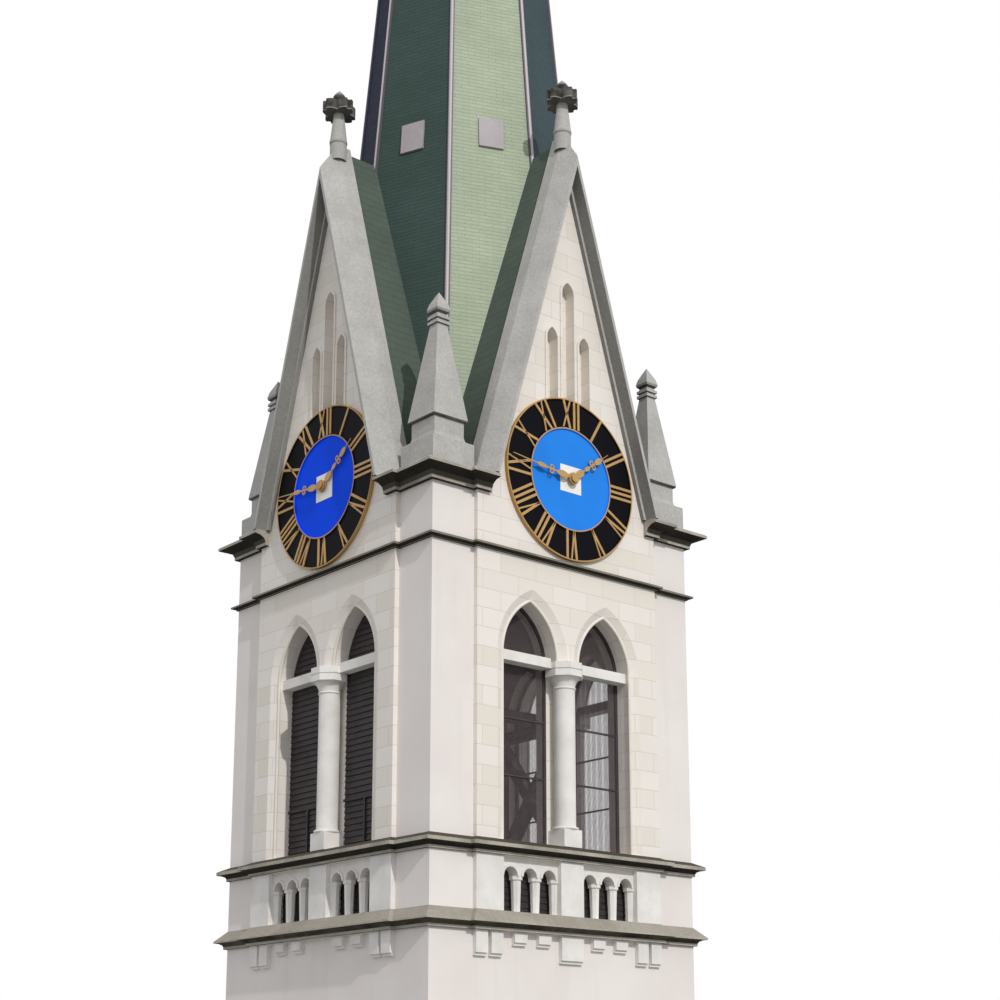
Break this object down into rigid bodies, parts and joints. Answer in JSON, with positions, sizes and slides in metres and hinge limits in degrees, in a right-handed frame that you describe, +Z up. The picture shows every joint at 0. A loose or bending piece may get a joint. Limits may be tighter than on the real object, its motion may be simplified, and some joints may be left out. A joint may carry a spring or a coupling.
{
  "type": "church tower, 1:2 scale model",
  "caption": "Plastered church tower with arcaded parapet, paired belfry windows, clock gables, pinnacles and a tall slated spire.",
  "frame": {"origin": "middle of the tower's base, on the ground", "axes": "+Z up, front face towards -Y, +X to the right of the front"},
  "size_m": [3.69, 3.69, 27.7],
  "materials": {
    "plaster": "matt",
    "ashlar": "matt",
    "weathered_stone": "matt",
    "slate": "matt",
    "sheet_metal": "satin",
    "dark_screen": "matt",
    "timber": "matt",
    "concrete": "matt",
    "painted_dial": "satin",
    "gilded_metal": "satin"
  },
  "bodies": {
    "tower": {"back_belfry_wall": "ashlar", "back_dial": "painted_dial", "back_gable_wall": "ashlar", "back_mesh_frames": "dark_screen", "back_parapet": "ashlar", "back_shaft_wall": "plaster", "belfry_floor": "concrete", "bell_frame": "timber", "columns": "ashlar", "corbels": "ashlar", "corner_cornices": "weathered_stone", "corner_piers": "plaster", "front_belfry_wall": "ashlar", "front_dial": "painted_dial", "front_gable_wall": "ashlar", "front_louvres": "dark_screen", "front_parapet": "ashlar", "front_shaft_wall": "plaster", "gable_copings": "weathered_stone", "gable_finials": "weathered_stone", "gable_roofs": "slate", "ground_floor": "concrete", "left_belfry_wall": "ashlar", "left_dial": "painted_dial", "left_gable_wall": "ashlar", "left_louvres": "dark_screen", "left_parapet": "ashlar", "left_shaft_wall": "plaster", "lower_cornice": "weathered_stone", "pinnacles": "weathered_stone", "plinth": "weathered_stone", "right_belfry_wall": "ashlar", "right_dial": "painted_dial", "right_gable_wall": "ashlar", "right_mesh_frames": "dark_screen", "right_parapet": "ashlar", "right_shaft_wall": "plaster", "ring_beam": "concrete", "sill_cornice": "weathered_stone", "spire": "slate", "spire_finial": "sheet_metal", "spire_hatches": "sheet_metal", "spire_hips": "sheet_metal", "string_course": "weathered_stone", "transoms": "ashlar"},
    "front_minute_hand": {"front_minute_hand": "gilded_metal"},
    "front_hour_hand": {"front_hour_hand": "gilded_metal"},
    "right_minute_hand": {"right_minute_hand": "gilded_metal"},
    "right_hour_hand": {"right_hour_hand": "gilded_metal"},
    "back_minute_hand": {"back_minute_hand": "gilded_metal"},
    "back_hour_hand": {"back_hour_hand": "gilded_metal"},
    "left_minute_hand": {"left_minute_hand": "gilded_metal"},
    "left_hour_hand": {"left_hour_hand": "gilded_metal"}
  },
  "joints": [
    {"name": "front_minute_hand_turn", "type": "hinge", "parent": "tower", "child": "front_minute_hand", "pos_m": [0, -1.675, 10.38], "axis": [0, -1, 0], "continuous": true},
    {"name": "front_hour_hand_turn", "type": "hinge", "parent": "tower", "child": "front_hour_hand", "pos_m": [0, -1.675, 10.38], "axis": [0, -1, 0], "continuous": true},
    {"name": "right_minute_hand_turn", "type": "hinge", "parent": "tower", "child": "right_minute_hand", "pos_m": [1.675, 0, 10.38], "axis": [1, 0, 0], "continuous": true},
    {"name": "right_hour_hand_turn", "type": "hinge", "parent": "tower", "child": "right_hour_hand", "pos_m": [1.675, 0, 10.38], "axis": [1, 0, 0], "continuous": true},
    {"name": "back_minute_hand_turn", "type": "hinge", "parent": "tower", "child": "back_minute_hand", "pos_m": [0, 1.675, 10.38], "axis": [0, 1, 0], "continuous": true},
    {"name": "back_hour_hand_turn", "type": "hinge", "parent": "tower", "child": "back_hour_hand", "pos_m": [0, 1.675, 10.38], "axis": [0, 1, 0], "continuous": true},
    {"name": "left_minute_hand_turn", "type": "hinge", "parent": "tower", "child": "left_minute_hand", "pos_m": [-1.675, 0, 10.38], "axis": [-1, 0, 0], "continuous": true},
    {"name": "left_hour_hand_turn", "type": "hinge", "parent": "tower", "child": "left_hour_hand", "pos_m": [-1.675, 0, 10.38], "axis": [-1, 0, 0], "continuous": true}
  ],
  "couplings": [
    {"joint": "front_hour_hand_turn", "follows": "front_minute_hand_turn", "ratio": 0.083333},
    {"joint": "right_minute_hand_turn", "follows": "front_minute_hand_turn", "ratio": 1},
    {"joint": "right_hour_hand_turn", "follows": "front_minute_hand_turn", "ratio": 0.083333},
    {"joint": "back_minute_hand_turn", "follows": "front_minute_hand_turn", "ratio": 1},
    {"joint": "back_hour_hand_turn", "follows": "front_minute_hand_turn", "ratio": 0.083333},
    {"joint": "left_minute_hand_turn", "follows": "front_minute_hand_turn", "ratio": 1},
    {"joint": "left_hour_hand_turn", "follows": "front_minute_hand_turn", "ratio": 0.083333}
  ]
}
